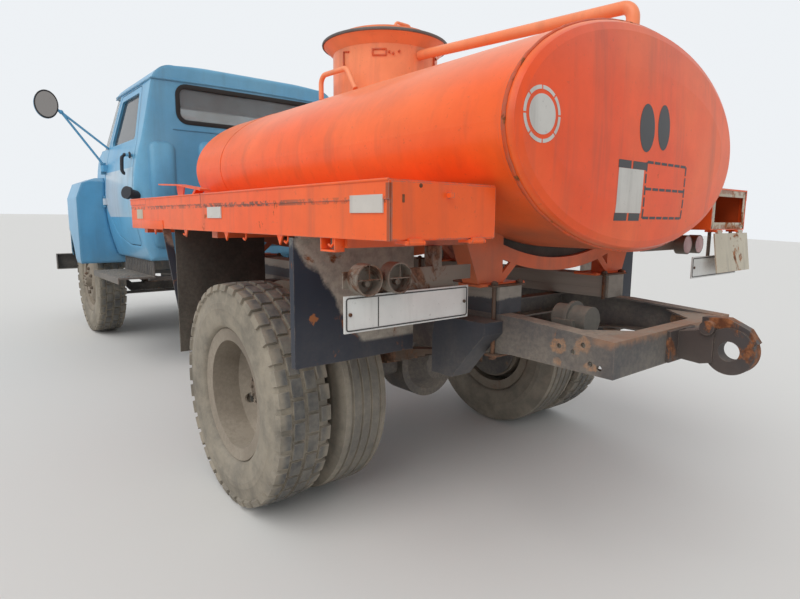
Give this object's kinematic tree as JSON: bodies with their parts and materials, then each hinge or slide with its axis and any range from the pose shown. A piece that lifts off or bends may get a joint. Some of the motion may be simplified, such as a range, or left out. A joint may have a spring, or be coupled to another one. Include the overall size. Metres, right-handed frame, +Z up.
{
  "type": "tanker truck",
  "caption": "Bonneted two-axle tanker truck with an elliptical tank, filling neck, long hose cases, opening cab doors, bonnet and lids, and wheels that roll and steer.",
  "frame": {"origin": "on the ground, below the middle of the truck's length and width", "axes": "+X forward, +Y to the truck's left, +Z up"},
  "size_m": [6.3036, 2.668, 2.2652],
  "materials": {
    "frame_black": "dusty dark navy paint with rust",
    "engine_grey": "oily grey",
    "spring_rust": "rusty",
    "exhaust_rust": "rusty",
    "timber": "weathered",
    "tank_orange": "worn orange paint",
    "lid_grey": "worn orange paint",
    "pad_rubber": "dull",
    "lamp_rust": "rusty cans",
    "lens": "dull",
    "plate_white": "blank",
    "cab_blue": "light blue paint",
    "grille_white": "white paint",
    "lamp_chrome": "dull chrome",
    "step_grey": "worn grey",
    "window": "clear",
    "seat_brown": "worn",
    "dash_grey": "matt grey",
    "filler_black": "black",
    "tyre": "dusty",
    "rim": "dusty"
  },
  "bodies": {
    "chassis": {"frame_rails": "frame_black", "tow_hook": "frame_black", "brake_valve": "engine_grey", "front_bumper": "frame_black", "engine_and_radiator": "engine_grey", "front_axle": "frame_black", "rear_axle": "frame_black", "leaf_springs": "spring_rust", "spring_hangers": "frame_black", "tank_beams": "timber", "tank_saddles": "tank_orange", "case_arms": "tank_orange", "saddle_pads": "pad_rubber", "tank": "tank_orange", "neck": "tank_orange", "tank_pipework": "tank_orange", "mud_plates": "frame_black", "mud_flaps": "pad_rubber", "tail_lamps": "lamp_rust", "lamp_lenses": "lens", "number_plate": "plate_white", "running_boards": "step_grey", "front_wings": "cab_blue", "cab_shell": "cab_blue", "cab_glass": "window", "front_panel": "grille_white", "headlamps": "lamp_chrome", "seat": "seat_brown", "dashboard": "dash_grey", "mirrors": "cab_blue", "fuel_filler": "filler_black", "exhaust": "exhaust_rust", "side_case_left": "tank_orange", "side_case_right": "tank_orange"},
    "door_left": {"door_left": "cab_blue", "door_glass_left": "window"},
    "knuckle_left": {"knuckle_left": "frame_black"},
    "front_wheel_left": {"front_tyre_left": "tyre", "front_rim_left": "rim"},
    "rear_wheels_left": {"rear_tyres_left": "tyre", "rear_rims_left": "rim"},
    "case_lid_left": {"case_lid_left": "lid_grey"},
    "door_right": {"door_right": "cab_blue", "door_glass_right": "window"},
    "knuckle_right": {"knuckle_right": "frame_black"},
    "front_wheel_right": {"front_tyre_right": "tyre", "front_rim_right": "rim"},
    "rear_wheels_right": {"rear_tyres_right": "tyre", "rear_rims_right": "rim"},
    "case_lid_right": {"case_lid_right": "lid_grey"},
    "bonnet": {"bonnet": "cab_blue"},
    "neck_lid": {"neck_lid": "tank_orange"},
    "tie_rod": {"tie_rod": "frame_black"}
  },
  "joints": [
    {"name": "door_left_swing", "type": "hinge", "parent": "chassis", "child": "door_left", "pos_m": [1.46909, 0.898, 1.30675], "axis": [-0.0432, 0, -0.9991], "range_deg": [0, 65]},
    {"name": "door_right_swing", "type": "hinge", "parent": "chassis", "child": "door_right", "pos_m": [1.46909, -0.898, 1.30675], "axis": [0.0432, 0, 0.9991], "range_deg": [0, 65]},
    {"name": "bonnet_lift", "type": "hinge", "parent": "chassis", "child": "bonnet", "pos_m": [1.87097, 0, 1.58465], "axis": [0, -1, 0], "range_deg": [0, 50]},
    {"name": "neck_lid_lift", "type": "hinge", "parent": "chassis", "child": "neck_lid", "pos_m": [-0.83316, 0, 2.18403], "axis": [0, 1, 0], "range_deg": [0, 110]},
    {"name": "case_lid_left_drop", "type": "hinge", "parent": "chassis", "child": "case_lid_left", "pos_m": [-2.63006, 0.9, 1.22978], "axis": [0, -1, 0], "range_deg": [0, 172]},
    {"name": "case_lid_right_raise", "type": "hinge", "parent": "chassis", "child": "case_lid_right", "pos_m": [-2.68323, -0.9, 1.25009], "axis": [0, 1, 0], "range_deg": [0, 172]},
    {"name": "steer_left", "type": "hinge", "parent": "chassis", "child": "knuckle_left", "pos_m": [2.1863, 0.72, 0.486], "axis": [0, 0, 1], "range_deg": [-30, 30]},
    {"name": "steer_right", "type": "hinge", "parent": "chassis", "child": "knuckle_right", "pos_m": [2.1863, -0.72, 0.486], "axis": [0, 0, 1], "range_deg": [-30, 30]},
    {"name": "tie_rod_swing", "type": "hinge", "parent": "knuckle_left", "child": "tie_rod", "pos_m": [2.0363, 0.72, 0.391], "axis": [0, 0, 1], "range_deg": [-30, 30]},
    {"name": "front_wheel_left_roll", "type": "hinge", "parent": "knuckle_left", "child": "front_wheel_left", "pos_m": [2.1863, 0.815, 0.486], "axis": [0, 1, 0], "continuous": true},
    {"name": "front_wheel_right_roll", "type": "hinge", "parent": "knuckle_right", "child": "front_wheel_right", "pos_m": [2.1863, -0.815, 0.486], "axis": [0, 1, 0], "continuous": true},
    {"name": "rear_wheels_left_roll", "type": "hinge", "parent": "chassis", "child": "rear_wheels_left", "pos_m": [-1.51716, 0.836, 0.486], "axis": [0, 1, 0], "continuous": true},
    {"name": "rear_wheels_right_roll", "type": "hinge", "parent": "chassis", "child": "rear_wheels_right", "pos_m": [-1.51716, -0.836, 0.486], "axis": [0, 1, 0], "continuous": true}
  ],
  "couplings": [
    {"joint": "steer_right", "follows": "steer_left", "ratio": 1},
    {"joint": "tie_rod_swing", "follows": "steer_left", "ratio": -1}
  ]
}
